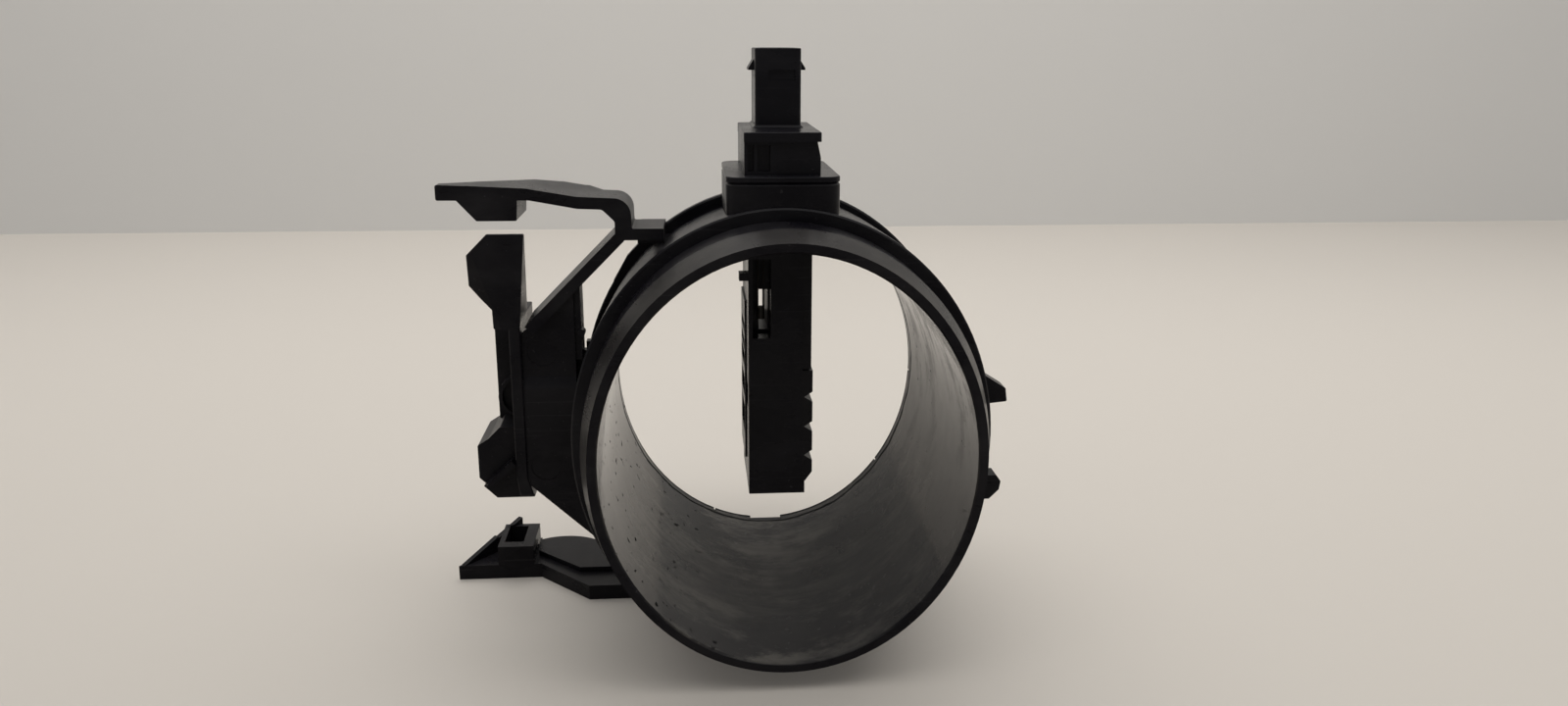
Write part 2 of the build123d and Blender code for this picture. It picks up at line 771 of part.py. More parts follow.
def plug_shroud():
    outer = rounded_prism(shroud_half_width, shroud_front, shroud_length, shroud_corner,
                          cap_top - 0.5, shroud_top)
    outer = fillet(outer.faces().sort_by(Axis.Z)[-1].edges(), 0.3)
    foot = rounded_prism(shroud_half_width + shroud_foot, shroud_front - shroud_foot,
                         shroud_length + 2 * shroud_foot, shroud_corner, cap_top - 0.5, cap_top + shroud_foot)
    foot = chamfer(foot.faces().sort_by(Axis.Z)[-1].edges(), shroud_foot - 0.05)
    cavity = rounded_prism(shroud_half_width - shroud_wall, shroud_front + shroud_wall,
                           shroud_length - 2 * shroud_wall, shroud_corner / 2,
                           cap_top + shroud_floor, shroud_top + 1)
    patch = block((-shroud_patch_width / 2 + 0.8, shroud_patch_width / 2 + 0.8),
                  (shroud_front - 1, shroud_front + shroud_patch_depth),
                  (shroud_top - shroud_patch_down - shroud_patch_height / 2,
                   shroud_top - shroud_patch_down + shroud_patch_height / 2))
    return outer + foot + latch_ramps() - cavity - patch


def latch_ramps():
    high = shroud_top - latch_top_down
    low = high - latch_height
    side = shroud_half_width - 0.3
    ramp = make_face(Polyline(
        (side, high), (shroud_half_width + latch_reach, low + latch_land),
        (shroud_half_width + latch_reach, low), (side, low), close=True))
    right = slab(ramp, shroud_middle - latch_length / 2, latch_length)
    return right + mirror(right, Plane.YZ)


def terminal_places():
    first = shroud_middle - terminal_pitch * (terminal_count - 1) / 2
    return [first + terminal_pitch * index for index in range(terminal_count)]


def terminal(y):
    """Straight square pin from the board up into the plug shroud."""
    half_x = terminal_thickness / 2
    half_y = terminal_width / 2
    top = shroud_top - terminal_top_down
    pin = block((-half_x, half_x), (y - half_y, y + half_y), (board_top - terminal_board_overlap, top))
    return chamfer(pin.faces().sort_by(Axis.Z)[-1].edges(), terminal_tip_chamfer)


def board_x():
    """The board's two faces: its left face lies against the terminals' right side."""
    left = terminal_thickness / 2
    return left, left + board_thickness


def circuit_board():
    return block(board_x(), (board_front, board_back), (board_bottom, board_top))


def board_seats():
    """Ledges in the chamber that the board lies on, clear of the terminals."""
    left = board_x()[0]
    low_x = -board_thickness / 2 - board_seat_height
    return block((low_x - 0.5, left), (board_front + 1, board_back - 1),
                 (chamber_bottom - 0.5, board_bottom + board_seat_height))


def asic():
    right = board_x()[1]
    size_x, size_y, size_z = asic_size
    y = board_middle
    return block((right, right + size_x), (y - size_y / 2, y + size_y / 2),
                 (asic_height - size_z / 2, asic_height + size_z / 2))


def capacitors():
    right = board_x()[1]
    size_x, size_y, size_z = capacitor_size
    y = board_middle + capacitor_offset
    chips = []
    for height in capacitor_heights:
        chips.append(block((right, right + size_x), (y - size_y / 2, y + size_y / 2),
                           (height - size_z / 2, height + size_z / 2)))
    return Compound(children=chips)


def element_place():
    """Y span of the measuring element's carrier, in the rear leg of the channel."""
    middle = (blade_middle + channel_divider_width / 2 + blade_back - end_wall) / 2
    return middle - element_carrier_length / 2, middle + element_carrier_length / 2


def element_carrier():
    right = board_x()[1]
    y_low, y_high = element_place()
    return block((right, right + element_carrier_thickness), (y_low, y_high),
                 (element_carrier_bottom, board_bottom + element_carrier_lap))


def film_chip():
    face = board_x()[1] + element_carrier_thickness
    y_low, y_high = element_place()
    size_x, size_y, size_z = film_chip_size
    middle = (y_low + y_high) / 2
    return block((face, face + size_x), (middle - size_y / 2, middle + size_y / 2),
                 (film_chip_height - size_z / 2, film_chip_height + size_z / 2))


def thermistor():
    y = blade_front + window_depth / 2
    return Pos(thermistor_x, y, thermistor_height) * Cylinder(thermistor_radius, thermistor_length)


def thermistor_leads():
    """Two wires from the bead up to the window's roof, let into it."""
    y = blade_front + window_depth / 2
    low = thermistor_height + thermistor_length / 2
    high = window_top + lead_bend
    leads = []
    for side in (-1, 1):
        leads.append(Pos(thermistor_x + side * lead_spread, y, (low + high) / 2)
                     * Cylinder(lead_radius, high - low))
    return Compound(children=leads)


def circuit_cover():
    cover = block((cover_inner, blade_half_width - 0.3),
                  (blade_front + cover_inset, blade_back - cover_inset),
                  (cover_split + cover_gap / 2, cover_top))
    return fillet(cover.faces().sort_by(Axis.X)[-1].edges(), 0.3)


def bypass_cover():
    """Lower cover with three cross grooves and a tapered foot."""
    top = cover_split - cover_gap / 2
    half = notch_half_height
    outer = blade_half_width
    foot = bypass_cover_bottom
    points = [(cover_inner, top), (outer, top)]
    for height in notch_heights:
        points += [(outer, height + half), (outer - notch_depth, height), (outer, height - half)]
    points += [(outer, foot + bypass_cover_taper), (blade_foot_right, foot), (cover_inner, foot)]
    profile = make_face(Polyline(*points, close=True))
    return slab(profile, blade_front, blade_chord)


def sensor_housing():
    """One moulding: blade, neck, flange, head and plug shroud."""
    housing = blade_solid() + neck() + sensor_head() + plug_shroud()
    housing -= bypass_channel()
    housing -= circuit_chamber()
    housing += board_seats()
    housing -= temperature_window()
    for slot in side_slots():
        housing -= slot
    for y in terminal_places():
        housing -= terminal(y)
    housing -= element_carrier()
    for lead in thermistor_leads().solids():
        housing -= lead
    return housing


def build():
    gap = seal_squeeze_gap
    nodes = {
        "duct_housing": duct_housing(),
        "sensor_housing": sensor_housing(),
        "circuit_cover": circuit_cover(),
        "bypass_cover": bypass_cover(),
        "neck_seal": seal_ring_form(seal_groove_depth, neck_clearance - gap),
        "circuit_board": circuit_board(),
        "asic_chip": asic(),
        "board_capacitors": capacitors(),
        "element_carrier": element_carrier(),
        "hot_film_chip": film_chip(),
        "air_thermistor": thermistor(),
        "thermistor_leads": thermistor_leads(),
    }
    for number, y in enumerate(terminal_places(), start=1):
        nodes[f"terminal_{number}"] = terminal(y)
    return nodes


os.makedirs("parts", exist_ok=True)
for name, solid in build().items():
    export_step(solid, f"parts/{name}.step")
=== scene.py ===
import bmesh
import bpy
from mathutils import Matrix, Vector

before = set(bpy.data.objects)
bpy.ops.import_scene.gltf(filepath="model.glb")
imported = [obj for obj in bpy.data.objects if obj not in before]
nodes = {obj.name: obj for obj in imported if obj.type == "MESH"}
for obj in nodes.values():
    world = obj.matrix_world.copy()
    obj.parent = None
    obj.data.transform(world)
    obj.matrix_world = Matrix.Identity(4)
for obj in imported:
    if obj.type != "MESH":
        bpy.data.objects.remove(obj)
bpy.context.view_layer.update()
print("frame loaded")


def connect(tree, value, socket):
    if hasattr(value, "links"):
        tree.links.new(value, socket)
    else:
        socket.default_value = value


def mathNode(tree, operation, a, b):
    node = tree.nodes.new("ShaderNodeMath")
    node.operation = operation
    connect(tree, a, node.inputs[0])
    connect(tree, b, node.inputs[1])
    return node.outputs["Value"]


def plus(tree, a, b):
    return mathNode(tree, "ADD", a, b)


def minus(tree, a, b):
    return mathNode(tree, "SUBTRACT", a, b)


def times(tree, a, b):
    return mathNode(tree, "MULTIPLY", a, b)


def larger(tree, a, b):
    return mathNode(tree, "MAXIMUM", a, b)


def atMostOne(tree, value):
    return mathNode(tree, "MINIMUM", value, 1.0)


def ramp(tree, source, low, high, lowValue=0.0, highValue=1.0):
    node = tree.nodes.new("ShaderNodeMapRange")
    node.interpolation_type = "SMOOTHSTEP"
    node.inputs["From Min"].default_value = low
    node.inputs["From Max"].default_value = high
    node.inputs["To Min"].default_value = lowValue
    node.inputs["To Max"].default_value = highValue
    tree.links.new(source, node.inputs["Value"])
    return node.outputs["Result"]


def noise(tree, coords, scale, detail, roughness, stretch=None):
    if stretch:
        mapping = tree.nodes.new("ShaderNodeMapping")
        mapping.inputs["Scale"].default_value = stretch
        tree.links.new(coords, mapping.inputs["Vector"])
        coords = mapping.outputs["Vector"]
    node = tree.nodes.new("ShaderNodeTexNoise")
    node.inputs["Detail"].default_value = detail
    node.inputs["Roughness"].default_value = roughness
    connect(tree, scale, node.inputs["Scale"])
    tree.links.new(coords, node.inputs["Vector"])
    return node.outputs["Fac"]


def mixColor(tree, factor, a, b):
    node = tree.nodes.new("ShaderNodeMix")
    node.data_type = "RGBA"
    for value, socket in ((factor, 0), (a, 6), (b, 7)):  # the factor and the two colour sockets
        connect(tree, value, node.inputs[socket])
    return node.outputs[2]


def objectCoords(tree):
    return tree.nodes.new("ShaderNodeTexCoord").outputs["Object"]


def surfaceNormal(tree):
    return tree.nodes.new("ShaderNodeNewGeometry").outputs["Normal"]


def splitXYZ(tree, vector):
    node = tree.nodes.new("ShaderNodeSeparateXYZ")
    tree.links.new(vector, node.inputs[0])
    return node.outputs


def newGroup(name, colors, floats):
    tree = bpy.data.node_groups.new(name, "ShaderNodeTree")
    for labels, kind in ((colors, "NodeSocketColor"), (floats, "NodeSocketFloat")):
        for label in labels:
            tree.interface.new_socket(label, in_out="INPUT", socket_type=kind)
    for label, kind in (("Color", "NodeSocketColor"), ("Roughness", "NodeSocketFloat"),
                        ("Height", "NodeSocketFloat")):
        tree.interface.new_socket(label, in_out="OUTPUT", socket_type=kind)
    given = tree.nodes.new("NodeGroupInput").outputs
    result = tree.nodes.new("NodeGroupOutput").inputs
    return tree, given, result


# a range is where it starts and ends, then the values there unless they are 0 and 1
plasticPattern = {
    "grainDetail": 4.0, "grainRoughness": 0.55,
    "cloud": {"scale": 38.0, "detail": 4.0, "roughness": 0.6}, "cloudRange": (0.3, 0.7),
    "mottleRange": (0.3, 0.7, 0.0, 0.12),
    "smear": {"scale": 60.0, "detail": 5.0, "roughness": 0.62, "stretch": (1.0, 0.22, 2.4)},
    "smearRange": (0.42, 0.78),
    "speck": {"scale": 900.0, "detail": 2.0, "roughness": 0.55}, "speckRange": (0.70, 0.74),
    "scratch": {"scale": 240.0, "detail": 2.0, "roughness": 0.5, "stretch": (0.12, 1.0, 6.0)},
    "scratchRange": (0.66, 0.7),
    "facingUpRange": (0.1, 0.95), "settledShare": 0.6,
    "cloudWear": 0.6, "smearWear": 0.5, "wearRange": (0.35, 0.8), "dustRoughness": 0.25,
    "grainRelief": 0.6, "cloudRelief": 0.35, "scratchRelief": 0.8,
}


def makeMouldedPlastic(p):
    tree, given, result = newGroup("mouldedPlastic", ("Plastic", "Dust"), (
        "Grain Scale", "Roughness Low", "Roughness High", "Dust Amount", "Speck Amount",
        "Scratch Amount"))
    coords = objectCoords(tree)
    grain = noise(tree, coords, given["Grain Scale"], p["grainDetail"], p["grainRoughness"])
    cloud = noise(tree, coords, **p["cloud"])
    smear = noise(tree, coords, **p["smear"])
    specks = ramp(tree, noise(tree, coords, **p["speck"]), *p["speckRange"])
    scratches = ramp(tree, noise(tree, coords, **p["scratch"]), *p["scratchRange"])
    # dust is smeared all over, and more of it has settled on what faces up
    smeared = times(tree, ramp(tree, smear, *p["smearRange"]), given["Dust Amount"])
    facingUp = ramp(tree, splitXYZ(tree, surfaceNormal(tree))["Z"], *p["facingUpRange"])
    settled = times(tree, facingUp, ramp(tree, cloud, *p["cloudRange"]))
    settled = times(tree, times(tree, settled, given["Dust Amount"]), p["settledShare"])
    film = atMostOne(tree, plus(tree, smeared, settled))
    speck = times(tree, specks, given["Speck Amount"])
    scratch = times(tree, scratches, given["Scratch Amount"])
    film = atMostOne(tree, plus(tree, film, plus(tree, speck, scratch)))
    mottle = ramp(tree, cloud, *p["mottleRange"])
    mottled = mixColor(tree, mottle, given["Plastic"], given["Dust"])
    tree.links.new(mixColor(tree, film, mottled, given["Dust"]), result["Color"])
    span = minus(tree, given["Roughness High"], given["Roughness Low"])
    wear = plus(tree, times(tree, cloud, p["cloudWear"]), times(tree, smear, p["smearWear"]))
    worn = times(tree, span, ramp(tree, wear, *p["wearRange"]))
    rough = plus(tree, given["Roughness Low"], worn)
    rough = plus(tree, rough, times(tree, film, p["dustRoughness"]))
    tree.links.new(atMostOne(tree, rough), result["Roughness"])
    height = times(tree, grain, p["grainRelief"])
    height = plus(tree, height, times(tree, cloud, p["cloudRelief"]))
    height = minus(tree, height, times(tree, scratch, p["scratchRelief"]))
    tree.links.new(height, result["Height"])
    return tree


grainPattern = {
    "grainDetail": 3.0, "grainRoughness": 0.55,
    "patch": {"scale": 320.0, "detail": 3.0, "roughness": 0.55}, "patchRange": (0.35, 0.7),
}


def makeFineGrain(p):
    tree, given, result = newGroup("fineGrain", ("Base", "Variation"), (
        "Grain Scale", "Roughness Low", "Roughness High"))
    coords = objectCoords(tree)
    grain = noise(tree, coords, given["Grain Scale"], p["grainDetail"], p["grainRoughness"])
    patch = noise(tree, coords, **p["patch"])
    patches = ramp(tree, patch, *p["patchRange"])
    tree.links.new(mixColor(tree, patches, given["Base"], given["Variation"]), result["Color"])
    span = minus(tree, given["Roughness High"], given["Roughness Low"])
    rough = plus(tree, given["Roughness Low"], times(tree, span, patch))
    tree.links.new(rough, result["Roughness"])
    tree.links.new(grain, result["Height"])
    return tree


# across runs from -1 at the left of the bore to 1 at its right, upward from its bottom to its top
airwayPattern = {
    "boreRange": (1.004, 1.02, 1.0, 0.0),
    # the film laid thicker towards the left of the bore is a painted reflection
    "lowRange": (-1.0, 0.7, 1.0, 0.45), "leftSheenRange": (-0.9, 0.9, 1.5, 0.6),
    "streak": {"scale": 190.0, "detail": 5.0, "roughness": 0.58, "stretch": (0.25, 1.0, 0.25)},
    "streakRange": (0.38, 0.66), "streakShare": 0.4,
    "cloud": {"scale": 60.0, "detail": 5.0, "roughness": 0.62, "stretch": (0.6, 1.0, 0.6)},
    "cloudRange": (0.40, 0.60), "cloudShare": 0.7,
    "fine": {"scale": 1100.0, "detail": 3.0, "roughness": 0.6, "stretch": (0.3, 1.0, 0.3)},
    "fineShare": 0.12,
    "wiped": {"scale": 52.0, "detail": 7.0, "roughness": 0.72, "stretch": (0.55, 1.0, 0.55)},
    "wipedRange": (0.46, 0.60), "wipedShare": 0.9, "wipedRoughness": (-1.0, -0.1, 0.03, 0.2),
    "wander": {"scale": 150.0, "detail": 3.0, "roughness": 0.55}, "wanderReach": 0.003,
    "stainRange": (0.0004, 0.0009, 0.85, 0.0),
    "spot": {"scale": 620.0, "detail": 1.5, "roughness": 0.55, "stretch": (1.0, 0.6, 1.0)},
    "spotRange": (0.685, 0.70), "spotPlace": (-0.85, 0.1, 0.9, 0.12),
    # the darkening at the bore's far edge is painted shade
    "farEdgeShadeRange": (-0.0004, 0.0, 0.0, 0.9),
    "rimRange": (-0.001, 0.0006, 1.0, 0.0), "rimCloudRange": (0.0, 1.0, 0.6, 1.0),
    "rimFacing": (-0.75, -0.5),
    "dustRoughness": 0.12, "markRoughness": 0.8, "flattened": 0.85,
}


def makeAirwayFilm(p):
    tree, given, result = newGroup("airwayFilm", ("Color", "Film", "Grime And Edge Shade"), (
        "Roughness", "Height", "Half Width", "Half Height", "Film Amount", "Wall Roughness",
        "Stain Line At", "Far Edge At", "Rim Length", "Rim Wear"))
    coords = objectCoords(tree)
    place = splitXYZ(tree, coords)
    across = mathNode(tree, "DIVIDE", place["X"], given["Half Width"])
    upward = mathNode(tree, "DIVIDE", place["Z"], given["Half Height"])
    squares = plus(tree, times(tree, across, across), times(tree, upward, upward))
    inBore = ramp(tree, squares, *p["boreRange"])  # 1 on the wall of the oval bore
    # dust settles low in the airway, and wiping has left streaks round the bore; the extra film on
    # the bore's left wall is a painted reflection
    low = ramp(tree, upward, *p["lowRange"])
    low = times(tree, low, ramp(tree, across, *p["leftSheenRange"]))
    streaks = ramp(tree, noise(tree, coords, **p["streak"]), *p["streakRange"])
    clouds = ramp(tree, noise(tree, coords, **p["cloud"]), *p["cloudRange"])
    wiped = ramp(tree, noise(tree, coords, **p["wiped"]), *p["wipedRange"])
    fine = noise(tree, coords, **p["fine"])
    dustAndLeftSheen = plus(tree, times(tree, streaks, p["streakShare"]), times(tree, clouds, p["cloudShare"]))
    dustAndLeftSheen = times(tree, plus(tree, dustAndLeftSheen, times(tree, fine, p["fineShare"])), low)
    dustAndLeftSheen = times(tree, dustAndLeftSheen, minus(tree, 1.0, times(tree, wiped, p["wipedShare"])))
    dustAndLeftSheen = atMostOne(tree, times(tree, dustAndLeftSheen, given["Film Amount"]))
    # a dried stain runs round the bore just inside its far end, and painted shade darkens the far
    # end's edge
    wander = minus(tree, noise(tree, coords, **p["wander"]), 0.5)
    wander = times(tree, wander, p["wanderReach"])
    offset = minus(tree, plus(tree, place["Y"], wander), given["Stain Line At"])
    stain = ramp(tree, mathNode(tree, "ABSOLUTE", offset, 0.0), *p["stainRange"])
    spots = ramp(tree, noise(tree, coords, **p["spot"]), *p["spotRange"])
    spots = times(tree, spots, ramp(tree, across, *p["spotPlace"]))
    farEdgeShade = ramp(tree, minus(tree, place["Y"], given["Far Edge At"]), *p["farEdgeShadeRange"])
    marksAndEdgeShade = larger(tree, larger(tree, stain, spots), farEdgeShade)
    filmWithLeftSheen = mixColor(tree, dustAndLeftSheen, given["Color"], given["Film"])
    markedAndEdgeShade = mixColor(tree, marksAndEdgeShade, filmWithLeftSheen, given["Grime And Edge Shade"])
    # handling has greyed the lead-in taper outside
    onRim = ramp(tree, minus(tree, place["Y"], given["Rim Length"]), *p["rimRange"])
    onRim = times(tree, onRim, given["Rim Wear"])
    onRim = times(tree, onRim, ramp(tree, clouds, *p["rimCloudRange"]))
    facing = splitXYZ(tree, surfaceNormal(tree))["Y"]
    onRim = times(tree, onRim, ramp(tree, facing, *p["rimFacing"]))
    outside = mixColor(tree, onRim, given["Color"], given["Film"])
    tree.links.new(mixColor(tree, inBore, outside, markedAndEdgeShade), result["Color"])
    wall = plus(tree, given["Wall Roughness"], times(tree, dustAndLeftSheen, p["dustRoughness"]))
    wall = plus(tree, wall, times(tree, wiped, ramp(tree, across, *p["wipedRoughness"])))
    wall = plus(tree, wall, times(tree, marksAndEdgeShade, p["markRoughness"]))
    change = times(tree, inBore, minus(tree, wall, given["Roughness"]))
    tree.links.new(plus(tree, given["Roughness"], change), result["Roughness"])
    flatter = minus(tree, 1.0, times(tree, inBore, p["flattened"]))
    tree.links.new(times(tree, given["Height"], flatter), result["Height"])
    return tree


mouldedPlastic = makeMouldedPlastic(plasticPattern)
fineGrain = makeFineGrain(grainPattern)
airwayFilm = makeAirwayFilm(airwayPattern)
print("surface groups made")


def placeGroup(tree, group, surface):
    node = tree.nodes.new("ShaderNodeGroup")
    node.node_tree = group
    for label, value in surface.items():
        node.inputs[label].default_value = value
    return node


def makeMaterial(name, group, look):
    material = bpy.data.materials.new(name)
    material.use_nodes = True
    tree = material.node_tree
    shader = tree.nodes["Principled BSDF"]
    shader.inputs["Metallic"].default_value = look["metallic"]
    shader.inputs["Specular IOR Level"].default_value = look["specular"]
    effect = placeGroup(tree, group, look["surface"])
    relief = tree.nodes.new("ShaderNodeBump")
    relief.inputs["Strength"].default_value = look["relief"]
    relief.inputs["Distance"].default_value = look["reliefDepth"]
    tree.links.new(effect.outputs["Color"], shader.inputs["Base Color"])
    tree.links.new(effect.outputs["Roughness"], shader.inputs["Roughness"])
    tree.links.new(effect.outputs["Height"], relief.inputs["Height"])
    tree.links.new(relief.outputs["Normal"], shader.inputs["Normal"])
    return material


def coatAirway(material, surface):
    # the film comes between the plastic's group and the shader
    tree = material.node_tree
    shader = tree.nodes["Principled BSDF"]
    relief = shader.inputs["Normal"].links[0].from_node
    film = placeGroup(tree, airwayFilm, surface)
    for label, target in (("Color", shader.inputs["Base Color"]),
                          ("Roughness", shader.inputs["Roughness"]),
                          ("Height", relief.inputs["Height"])):
        tree.links.new(target.links[0].from_socket, film.inputs[label])
        tree.links.new(film.outputs[label], target)


def dress(name, material):
    mesh = nodes[name].data
    mesh.materials.clear()
    mesh.materials.append(material)


ductLook = {
    "surface": {
        "Plastic": (0.0046, 0.0041, 0.0062, 1), "Dust": (0.086, 0.083, 0.085, 1),
        "Grain Scale": 1900.0, "Roughness Low": 0.24, "Roughness High": 0.37,
        "Dust Amount": 0.12, "Speck Amount": 0.25, "Scratch Amount": 0.10,
    },
    "relief": 0.25, "reliefDepth": 0.0001, "metallic": 0.0, "specular": 0.08,
}
airwayLook = {
    # the grime colour also paints the shade at the bore's far edge
    "Film": (0.18, 0.168, 0.148, 1), "Grime And Edge Shade": (0.004, 0.004, 0.004, 1),
    "Half Width": 0.0375, "Half Height": 0.0424, "Film Amount": 0.42, "Wall Roughness": 0.05,
    "Stain Line At": 0.0742, "Far Edge At": 0.0768, "Rim Length": 0.007, "Rim Wear": 0.18,
}
ductPlastic = makeMaterial("ductPlastic", mouldedPlastic, ductLook)
coatAirway(ductPlastic, airwayLook)
dress("duct_housing", ductPlastic)
print("duct dressed")

sensorLook = {
    "surface": {
        "Plastic": (0.0046, 0.0042, 0.0064, 1), "Dust": (0.074, 0.072, 0.078, 1),
        "Grain Scale": 2600.0, "Roughness Low": 0.2, "Roughness High": 0.34,
        "Dust Amount": 0.08, "Speck Amount": 0.15, "Scratch Amount": 0.06,
    },
    "relief": 0.25, "reliefDepth": 0.0001, "metallic": 0.0, "specular": 0.08,
}
dress("sensor_housing", makeMaterial("sensorPlastic", mouldedPlastic, sensorLook))

coverLook = {
    "surface": {
        "Plastic": (0.006, 0.0055, 0.0072, 1), "Dust": (0.074, 0.072, 0.078, 1),
        "Grain Scale": 2600.0, "Roughness Low": 0.22, "Roughness High": 0.34,
        "Dust Amount": 0.08, "Speck Amount": 0.15, "Scratch Amount": 0.06,
    },
    "relief": 0.2, "reliefDepth": 0.0001, "metallic": 0.0, "specular": 0.08,
}
coverPlastic = makeMaterial("coverPlastic", mouldedPlastic, coverLook)
dress("circuit_cover", coverPlastic)
dress("bypass_cover", coverPlastic)
print("sensor insert and covers dressed")

innerLooks = {
    "neck_seal": {
        "surface": {"Base": (0.03, 0.03, 0.034, 1), "Variation": (0.05, 0.05, 0.055, 1),
                    "Grain Scale": 1800.0, "Roughness Low": 0.55, "Roughness High": 0.75},
        "relief": 0.2, "reliefDepth": 0.0001, "metallic": 0.0, "specular": 0.5,
    },
    "circuit_board": {
        "surface": {"Base": (0.02, 0.14, 0.06, 1), "Variation": (0.03, 0.19, 0.08, 1),
                    "Grain Scale": 2200.0, "Roughness Low": 0.25, "Roughness High": 0.4},
        "relief": 0.2, "reliefDepth": 0.0001, "metallic": 0.0, "specular": 0.5,
    },
    "asic_chip": {
        "surface": {"Base": (0.02, 0.02, 0.02, 1), "Variation": (0.035, 0.035, 0.035, 1),
                    "Grain Scale": 3200.0, "Roughness Low": 0.4, "Roughness High": 0.55},
        "relief": 0.2, "reliefDepth": 0.0001, "metallic": 0.0, "specular": 0.5,
    },
    "board_capacitors": {
        "surface": {"Base": (0.45, 0.34, 0.22, 1), "Variation": (0.6, 0.5, 0.36, 1),
                    "Grain Scale": 3600.0, "Roughness Low": 0.4, "Roughness High": 0.55},
        "relief": 0.2, "reliefDepth": 0.0001, "metallic": 0.0, "specular": 0.5,
    },
    "element_carrier": {
        "surface": {"Base": (0.66, 0.65, 0.62, 1), "Variation": (0.75, 0.74, 0.72, 1),
                    "Grain Scale": 2600.0, "Roughness Low": 0.4, "Roughness High": 0.6},
        "relief": 0.2, "reliefDepth": 0.0001, "metallic": 0.0, "specular": 0.5,
    },
    "hot_film_chip": {
        "surface": {"Base": (0.08, 0.09, 0.13, 1), "Variation": (0.16, 0.17, 0.24, 1),
                    "Grain Scale": 2400.0, "Roughness Low": 0.12, "Roughness High": 0.25},
        "relief": 0.2, "reliefDepth": 0.0001, "metallic": 0.3, "specular": 0.5,
    },
    "air_thermistor": {
        "surface": {"Base": (0.010, 0.009, 0.008, 1), "Variation": (0.026, 0.023, 0.019, 1),
                    "Grain Scale": 2400.0, "Roughness Low": 0.25, "Roughness High": 0.4},
        "relief": 0.2, "reliefDepth": 0.0001, "metallic": 0.0, "specular": 0.12,
    },
    "thermistor_leads": {
        "surface": {"Base": (0.007, 0.0065, 0.006, 1), "Variation": (0.016, 0.014, 0.012, 1),
                    "Grain Scale": 4000.0, "Roughness Low": 0.45, "Roughness High": 0.6},
        "relief": 0.2, "reliefDepth": 0.0001, "metallic": 0.0, "specular": 0.12,
    },
}
for name, look in innerLooks.items():
    dress(name, makeMaterial(name + "Finish", fineGrain, look))

contactLook = {
    "surface": {"Base": (0.62, 0.5, 0.28, 1), "Variation": (0.72, 0.68, 0.58, 1),
                "Grain Scale": 4200.0, "Roughness Low": 0.22, "Roughness High": 0.36},
    "relief": 0.15, "reliefDepth": 0.0001, "metallic": 1.0, "specular": 0.5,
}
contactMetal = makeMaterial("contactMetal", fineGrain, contactLook)
for name in nodes:
    if name.startswith("terminal_"):
        dress(name, contactMetal)
print("inner parts and contacts dressed")


def makeSheet(name, width, depth, middle, turn):
    shape = bmesh.new()
    place = Matrix.Translation(middle) @ turn @ Matrix.Diagonal((width / 2, depth / 2, 1, 1))
    bmesh.ops.create_grid(shape, x_segments=1, y_segments=1, size=1.0, matrix=place)
    mesh = bpy.data.meshes.new(name)
    shape.to_mesh(mesh)
    shape.free()
    sheet = bpy.data.objects.new(name, mesh)
    bpy.context.scene.collection.objects.link(sheet)
    return sheet


def plainStage(sheet, look):
    material = bpy.data.materials.new(sheet.name + "Surface")
    material.use_nodes = True
    tree = material.node_tree
    shader = tree.nodes["Principled BSDF"]
    rays = tree.nodes.new("ShaderNodeLightPath").outputs
    coords = objectCoords(tree)
    away = tree.nodes.new("ShaderNodeVectorMath")
    away.operation = "DISTANCE"
    tree.links.new(coords, away.inputs[0])
    away.inputs[1].default_value = look["glowCentre"]
    # the glow shows to the camera and in gloss, and lights nothing
    backGlow = ramp(tree, splitXYZ(tree, coords)["Y"], *look["backGlow"])
    farGlow = ramp(tree, away.outputs["Value"], *look["farGlow"])
    seen = larger(tree, rays["Is Camera Ray"], rays["Is Glossy Ray"])
    seen = times(tree, seen, plus(tree, backGlow, farGlow))
    glow = mixColor(tree, seen, (0, 0, 0, 1), look["color"])
    tree.links.new(glow, shader.inputs["Emission Color"])
    shader.inputs["Emission Strength"].default_value = 1.0
    shader.inputs["Base Color"].default_value = look["color"]
    shader.inputs["Roughness"].default_value = look["roughness"]
    sheet.data.materials.append(material)


stageSizes = {"width": 6.0, "near": -3.0, "wallAt": 0.62, "floorAt": -0.0488, "wallTop": 1.6}
floorLook = {
    "color": (0.60, 0.56, 0.51, 1), "roughness": 0.55, "glowCentre": (0, 0.3, 0),
    "backGlow": (-0.3, 0.35, 0.0, 0.22), "farGlow": (0.65, 1.3, 0.0, 0.75),
}
wallLook = {
    "color": (0.66, 0.645, 0.62, 1), "roughness": 0.7, "glowCentre": (0, 0.3, 0),
    "backGlow": (0.5, 0.6, 0.0, 0.16), "farGlow": (0.65, 1.3, 0.0, 0.4),
}
floorDepth = stageSizes["wallAt"] - stageSizes["near"]
floorMiddle = (0, stageSizes["near"] + floorDepth / 2, stageSizes["floorAt"])
wallHeight = stageSizes["wallTop"] - stageSizes["floorAt"]
wallMiddle = (0, stageSizes["wallAt"], stageSizes["floorAt"] + wallHeight / 2)
lying = Matrix.Identity(4)
standing = Matrix(((1, 0, 0, 0), (0, 0, -1, 0), (0, 1, 0, 0), (0, 0, 0, 1)))  # faces forward
floor = makeSheet("floor", stageSizes["width"], floorDepth, floorMiddle, lying)
wall = makeSheet("wall", stageSizes["width"], wallHeight, wallMiddle, standing)
plainStage(floor, floorLook)
plainStage(wall, wallLook)
print("stage made")


def areaLight(name, lamp):
    data = bpy.data.lights.new(name, "AREA")
    data.shape = "RECTANGLE"
    data.size, data.size_y = lamp["size"]
    data.energy = lamp["power"]
    data.color = lamp["color"]
    light = bpy.data.objects.new(name, data)
    light.location = lamp["place"]
    light.rotation_mode = "QUATERNION"
    aim = Vector(lamp["target"]) - Vector(lamp["place"])
    light.rotation_quaternion = aim.to_track_quat("-Z", "Y")
    light.visible_camera = False
    bpy.context.scene.collection.objects.link(light)


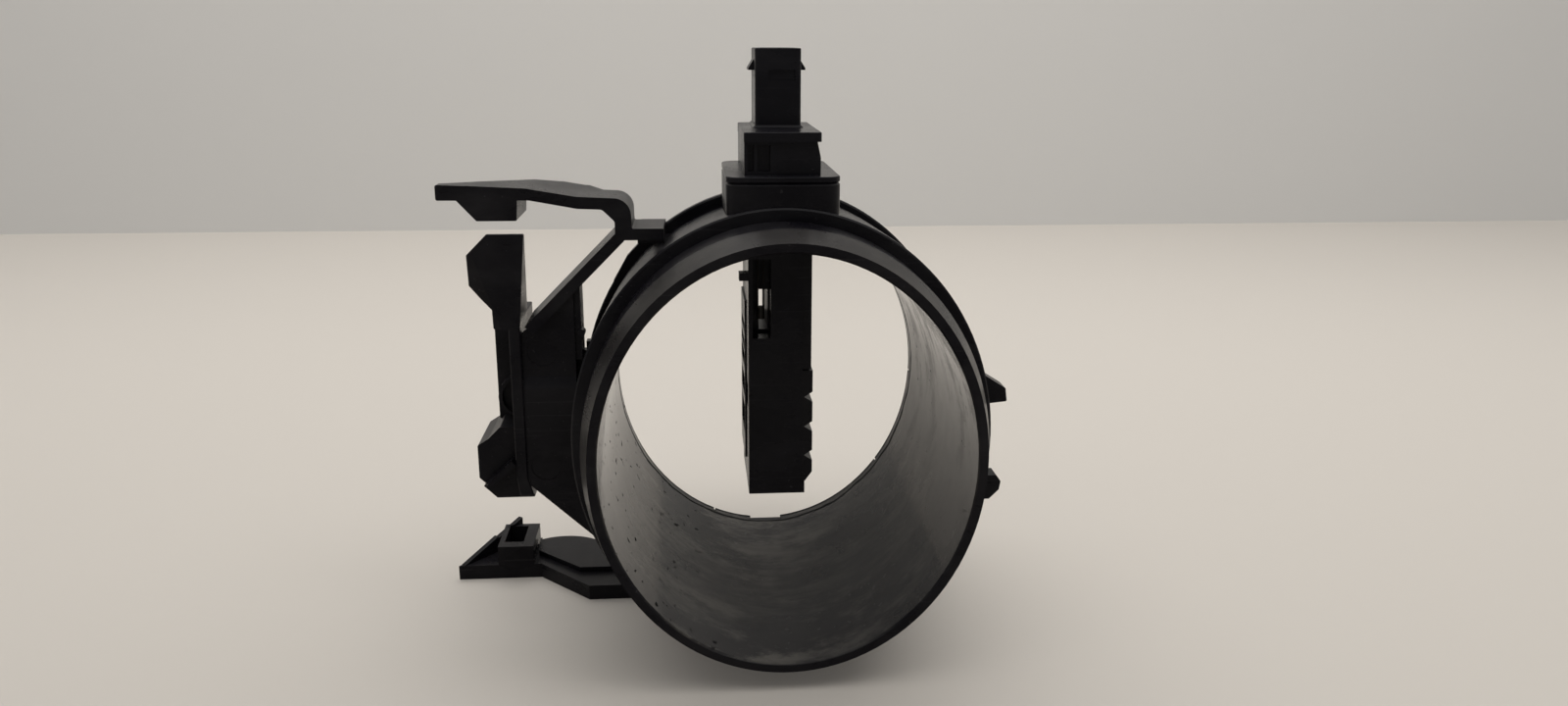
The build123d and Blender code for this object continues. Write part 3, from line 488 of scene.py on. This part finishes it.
overheadPanel = {
    "place": (0.06, 0.22, 0.62), "target": (0, 0.08, 0), "size": (1.3, 0.75), "power": 4.25,
    "color": (1.0, 0.985, 0.96),
}
wallWash = {
    "place": (0.0, -0.35, 0.95), "target": (0, 0.45, 0.1), "size": (1.6, 0.5), "power": 3.0,
    "color": (1.0, 0.99, 0.97),
}
areaLight("overheadPanel", overheadPanel)
areaLight("wallWash", wallWash)

roomLook = {
    "light": (1, 1, 1, 1), "backRange": (-0.6, 0.8, 0.17, 0.42),
    "lowRingRange": (0.1, 0.6, 0.45, 0.2),
    "backdrop": (0.8, 0.79, 0.78, 1), "backdropStrength": 0.75,
}
world = bpy.data.worlds.new("paleRoom")
bpy.context.scene.world = world
world.use_nodes = True
room = world.node_tree
background = room.nodes["Background"]
rays = room.nodes.new("ShaderNodeLightPath").outputs
direction = splitXYZ(room, room.nodes.new("ShaderNodeTexCoord").outputs["Generated"])
seen = mixColor(room, rays["Is Camera Ray"], roomLook["light"], roomLook["backdrop"])
room.links.new(seen, background.inputs["Color"])
towardsBack = ramp(room, direction["Y"], *roomLook["backRange"])
backdrop = times(room, rays["Is Camera Ray"], roomLook["backdropStrength"])
lowRing = ramp(room, direction["Z"], *roomLook["lowRingRange"])
lowRing = times(room, rays["Is Glossy Ray"], lowRing)  # shows in gloss alone
strength = larger(room, larger(room, towardsBack, backdrop), lowRing)
room.links.new(strength, background.inputs["Strength"])
print("lights made")

cameraPose = {
    "place": (-0.01863, -0.21556, 0.08095), "right": (0.99685, -0.07931, 0.00337),
    "up": (0.01714, 0.25658, 0.96637), "forward": (0.0775, 0.96327, -0.25713),
    "lens": 27.0, "sensorWidth": 36.0, "clipStart": 0.01,
}
cameraData = bpy.data.cameras.new("camera")
cameraData.sensor_width = cameraPose["sensorWidth"]
cameraData.lens = cameraPose["lens"]
cameraData.clip_start = cameraPose["clipStart"]
camera = bpy.data.objects.new("camera", cameraData)
axes = (Vector(cameraPose["right"]), Vector(cameraPose["up"]), -Vector(cameraPose["forward"]))
turn = Matrix(axes).transposed().to_4x4()
camera.matrix_world = Matrix.Translation(cameraPose["place"]) @ turn
bpy.context.scene.collection.objects.link(camera)
bpy.context.scene.camera = camera
bpy.context.scene.view_settings.view_transform = "Standard"
print("camera placed")
